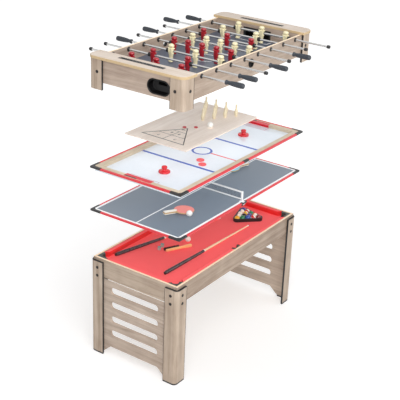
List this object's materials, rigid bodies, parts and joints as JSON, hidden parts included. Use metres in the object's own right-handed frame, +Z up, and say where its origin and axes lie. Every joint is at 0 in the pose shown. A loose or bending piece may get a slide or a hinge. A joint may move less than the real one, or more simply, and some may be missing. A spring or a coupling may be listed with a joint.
{
  "type": "multi game table",
  "caption": "Pool table base whose table-tennis, glide-hockey, bowling and foosball tops lift off one above the other.",
  "frame": {"origin": "on the floor, under the middle of the base", "axes": "+X along the length, +Y across the width, +Z up"},
  "size_m": [1.392, 1.2087, 1.985],
  "materials": {
    "oak_laminate": "satin",
    "pale_oak": "satin",
    "black_plastic": "satin",
    "grey_plastic": "satin",
    "black_rubber": "matte",
    "cloth_on_board": "matte",
    "red_rubber": "matte",
    "blue_rubber": "matte",
    "slate_print": "satin",
    "white_board": "gloss",
    "ball_gloss": "gloss",
    "maple": "satin",
    "net_cord": "matte",
    "rod_metal": "polished"
  },
  "bodies": {
    "base": {"leg_front_left": "oak_laminate", "leg_front_right": "oak_laminate", "leg_back_left": "oak_laminate", "leg_back_right": "oak_laminate", "apron_front": "oak_laminate", "apron_back": "oak_laminate", "apron_left": "oak_laminate", "apron_right": "oak_laminate", "end_panel_left": "oak_laminate", "end_panel_right": "oak_laminate", "pocket_front_left": "grey_plastic", "pocket_front_right": "grey_plastic", "pocket_back_left": "grey_plastic", "pocket_back_right": "grey_plastic", "pocket_front_middle": "grey_plastic", "pocket_back_middle": "grey_plastic", "pool_bed": "cloth_on_board", "cue_1": "maple", "cue_2": "maple", "ball_rack": "black_plastic", "racked_balls": "ball_gloss", "table_brush": "maple"},
    "tennis": {"tennis_board": "slate_print", "net": "net_cord", "paddle_red": "red_rubber", "paddle_blue": "blue_rubber"},
    "hockey": {"hockey_board": "white_board", "hockey_frame": "pale_oak"},
    "bowling": {"bowling_board": "pale_oak"},
    "foosball": {"post_front_left": "oak_laminate", "post_front_right": "oak_laminate", "post_back_left": "oak_laminate", "post_back_right": "oak_laminate", "side_wall_front": "oak_laminate", "side_wall_back": "oak_laminate", "return_box_left": "oak_laminate", "return_box_right": "oak_laminate", "playfield": "slate_print", "end_cap_left": "pale_oak", "end_cap_right": "pale_oak", "return_cup_left": "black_plastic", "return_cup_right": "black_plastic"},
    "score_left": {"score_beads_left": "black_plastic"},
    "score_right": {"score_beads_right": "black_plastic"},
    "ring_1": {"bumper_1": "black_rubber"},
    "rod_1": {"rod_1": "rod_metal"},
    "ring_2": {"bumper_2": "black_rubber"},
    "rod_2": {"rod_2": "rod_metal"},
    "ring_3": {"bumper_3": "black_rubber"},
    "rod_3": {"rod_3": "rod_metal"},
    "ring_4": {"bumper_4": "black_rubber"},
    "rod_4": {"rod_4": "rod_metal"},
    "ring_5": {"bumper_5": "black_rubber"},
    "rod_5": {"rod_5": "rod_metal"},
    "ring_6": {"bumper_6": "black_rubber"},
    "rod_6": {"rod_6": "rod_metal"},
    "ring_7": {"bumper_7": "black_rubber"},
    "rod_7": {"rod_7": "rod_metal"},
    "ring_8": {"bumper_8": "black_rubber"},
    "rod_8": {"rod_8": "rod_metal"}
  },
  "joints": [
    {"name": "tennis_lift", "type": "slide", "parent": "base", "child": "tennis", "axis": [0, 0, 1], "range_m": [-0.292, 0]},
    {"name": "hockey_lift", "type": "slide", "parent": "tennis", "child": "hockey", "axis": [0, 0, 1], "range_m": [-0.178, 0]},
    {"name": "board_lift", "type": "slide", "parent": "hockey", "child": "bowling", "axis": [0, 0, 1], "range_m": [-0.132, 0]},
    {"name": "foosball_lift", "type": "slide", "parent": "bowling", "child": "foosball", "axis": [0, 0, 1], "range_m": [-0.288, 0]},
    {"name": "rod_1_slide", "type": "slide", "parent": "foosball", "child": "ring_1", "axis": [0, 1, 0], "range_m": [-0.0812, 0.0992]},
    {"name": "rod_1_spin", "type": "hinge", "parent": "ring_1", "child": "rod_1", "pos_m": [-0.5075, 0, 1.942], "axis": [0, 1, 0], "continuous": true},
    {"name": "rod_2_slide", "type": "slide", "parent": "foosball", "child": "ring_2", "axis": [0, 1, 0], "range_m": [-0.1432, 0.1432]},
    {"name": "rod_2_spin", "type": "hinge", "parent": "ring_2", "child": "rod_2", "pos_m": [-0.3625, 0, 1.942], "axis": [0, 1, 0], "continuous": true},
    {"name": "rod_3_slide", "type": "slide", "parent": "foosball", "child": "ring_3", "axis": [0, 1, 0], "range_m": [-0.0135, 0.1669]},
    {"name": "rod_3_spin", "type": "hinge", "parent": "ring_3", "child": "rod_3", "pos_m": [-0.2175, 0, 1.942], "axis": [0, 1, 0], "continuous": true},
    {"name": "rod_4_slide", "type": "slide", "parent": "foosball", "child": "ring_4", "axis": [0, 1, 0], "range_m": [-0.0403, 0.0801]},
    {"name": "rod_4_spin", "type": "hinge", "parent": "ring_4", "child": "rod_4", "pos_m": [-0.0725, 0, 1.942], "axis": [0, 1, 0], "continuous": true},
    {"name": "rod_5_slide", "type": "slide", "parent": "foosball", "child": "ring_5", "axis": [0, 1, 0], "range_m": [-0.006, 0.1144]},
    {"name": "rod_5_spin", "type": "hinge", "parent": "ring_5", "child": "rod_5", "pos_m": [0.0725, 0, 1.942], "axis": [0, 1, 0], "continuous": true},
    {"name": "rod_6_slide", "type": "slide", "parent": "foosball", "child": "ring_6", "axis": [0, 1, 0], "range_m": [-0.0857, 0.0947]},
    {"name": "rod_6_spin", "type": "hinge", "parent": "ring_6", "child": "rod_6", "pos_m": [0.2175, 0, 1.942], "axis": [0, 1, 0], "continuous": true},
    {"name": "rod_7_slide", "type": "slide", "parent": "foosball", "child": "ring_7", "axis": [0, 1, 0], "range_m": [-0.1432, 0.1432]},
    {"name": "rod_7_spin", "type": "hinge", "parent": "ring_7", "child": "rod_7", "pos_m": [0.3625, 0, 1.942], "axis": [0, 1, 0], "continuous": true},
    {"name": "rod_8_slide", "type": "slide", "parent": "foosball", "child": "ring_8", "axis": [0, 1, 0], "range_m": [-0.0135, 0.1669]},
    {"name": "rod_8_spin", "type": "hinge", "parent": "ring_8", "child": "rod_8", "pos_m": [0.5075, 0, 1.942], "axis": [0, 1, 0], "continuous": true},
    {"name": "score_left_slide", "type": "slide", "parent": "foosball", "child": "score_left", "axis": [0, 1, 0], "range_m": [0, 0.064]},
    {"name": "score_right_slide", "type": "slide", "parent": "foosball", "child": "score_right", "axis": [0, 1, 0], "range_m": [0, 0.064]}
  ]
}
